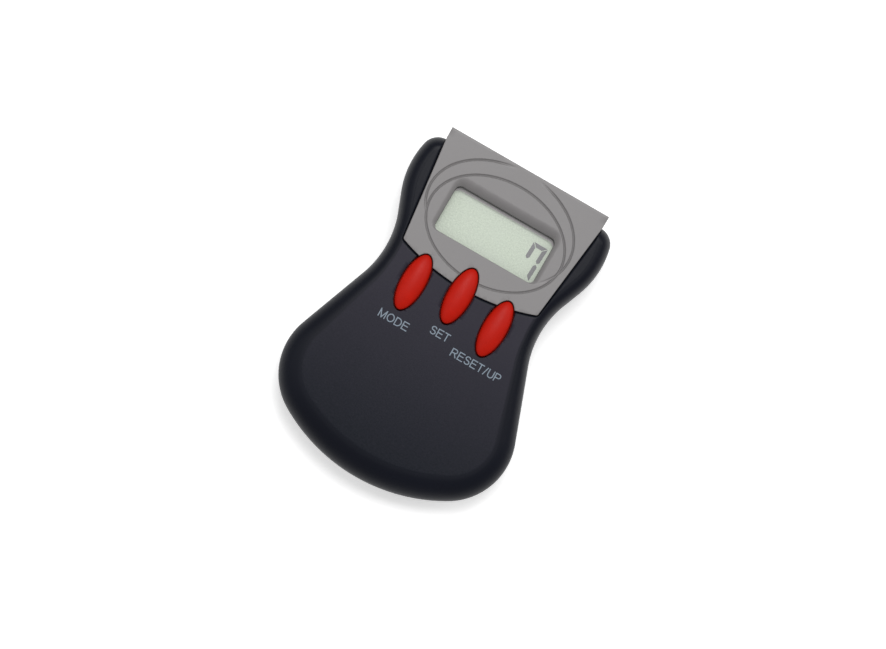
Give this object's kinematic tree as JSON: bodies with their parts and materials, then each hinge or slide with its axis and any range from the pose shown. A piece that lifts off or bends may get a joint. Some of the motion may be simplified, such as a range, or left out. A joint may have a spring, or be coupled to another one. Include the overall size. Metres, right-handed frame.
{
  "type": "pedometer",
  "caption": "Clip-on step counter: broad dark lobe, narrow waist, grey display bezel with oval groove, red elliptical buttons, round battery door and sprung belt clip.",
  "frame": {"origin": "under the middle of the case's length and width, on the plane that its back rests on", "axes": "+X to the right of the display, +Y to the top of the display, +Z out of the display"},
  "size_m": [0.0542, 0.075, 0.0162],
  "materials": {
    "case_dark": "fine spark-eroded face with a smooth satin rim",
    "case_rear": "fine matt moulded texture",
    "bezel_grey": "satin moulded plastic with a fine grain",
    "lens_clear": "clear polished window",
    "gasket_black": "die-cut foam adhesive",
    "lcd_green": "liquid crystal panel with a pale green ground",
    "reflector_pale": "diffuse foil",
    "zebra_rubber": "layered conductive rubber",
    "board_green": "solder mask over glass-fibre laminate",
    "epoxy_black": "poured epoxy",
    "chip_parts": "ceramic surface-mount bodies",
    "crystal_can": "drawn metal can",
    "button_red": "satin red plastic",
    "keypad_rubber": "silicone rubber",
    "cell_steel": "nickel-plated steel can",
    "contact_bronze": "tinned phosphor bronze",
    "pendulum_white": "moulded carrier",
    "steel": "plain steel",
    "spring_steel": "drawn spring wire",
    "rivet_brass": "turned brass",
    "bumper_rubber": "soft black rubber",
    "screw_zinc": "zinc-plated steel"
  },
  "bodies": {
    "case": {"front_cover": "case_dark", "rear_cover": "case_rear", "display_bezel": "bezel_grey", "display_lens": "lens_clear", "lens_gasket": "gasket_black", "lcd_glass": "lcd_green", "lcd_reflector": "reflector_pale", "zebra_strip": "zebra_rubber", "circuit_board": "board_green", "controller_chip": "epoxy_black", "quartz_crystal": "crystal_can", "smd_components": "chip_parts", "keypad": "keypad_rubber", "button_cell": "cell_steel", "battery_contact_plus": "contact_bronze", "battery_contact_minus": "contact_bronze", "pendulum_base": "pendulum_white", "pendulum_pivot_pin": "steel", "pendulum_spring": "spring_steel", "pendulum_contact": "rivet_brass", "pendulum_bumper": "bumper_rubber", "base_rivets": "rivet_brass", "clip_pin": "steel", "clip_spring": "spring_steel", "case_screws": "screw_zinc", "board_screws": "screw_zinc"},
    "mode_key": {"mode_button": "button_red"},
    "set_key": {"set_button": "button_red"},
    "reset_key": {"reset_button": "button_red"},
    "door": {"battery_door": "case_rear", "door_seal": "bumper_rubber"},
    "pendulum": {"pendulum_arm": "steel", "pendulum_weight": "steel"},
    "clip": {"belt_clip": "case_rear"}
  },
  "joints": [
    {"name": "mode_press", "type": "slide", "parent": "case", "child": "mode_key", "axis": [0, 0, -1], "range_m": [0, 0.0008], "stiffness_N_per_m": 500},
    {"name": "set_press", "type": "slide", "parent": "case", "child": "set_key", "axis": [0, 0, -1], "range_m": [0, 0.0008], "stiffness_N_per_m": 500, "deforming": ["keypad"]},
    {"name": "reset_press", "type": "slide", "parent": "case", "child": "reset_key", "axis": [0, 0, -1], "range_m": [0, 0.0008], "stiffness_N_per_m": 500},
    {"name": "battery_door_turn", "type": "hinge", "parent": "case", "child": "door", "pos_m": [-0.0105, -0.018, 0], "axis": [0, 0, 1], "range_deg": [0, 45]},
    {"name": "pendulum_swing", "type": "hinge", "parent": "case", "child": "pendulum", "pos_m": [0.0008, -0.018, 0.0043], "axis": [0, 0, 1], "range_deg": [-6, 6], "stiffness_Nm_per_rad": 0.00025, "deforming": ["pendulum_spring"]},
    {"name": "clip_hinge", "type": "hinge", "parent": "case", "child": "clip", "pos_m": [0, 0.03, 0.0024], "axis": [1, 0, 0], "range_deg": [0, 25], "stiffness_Nm_per_rad": 0.06, "springref_deg": -28.65, "deforming": ["clip_spring"]}
  ]
}
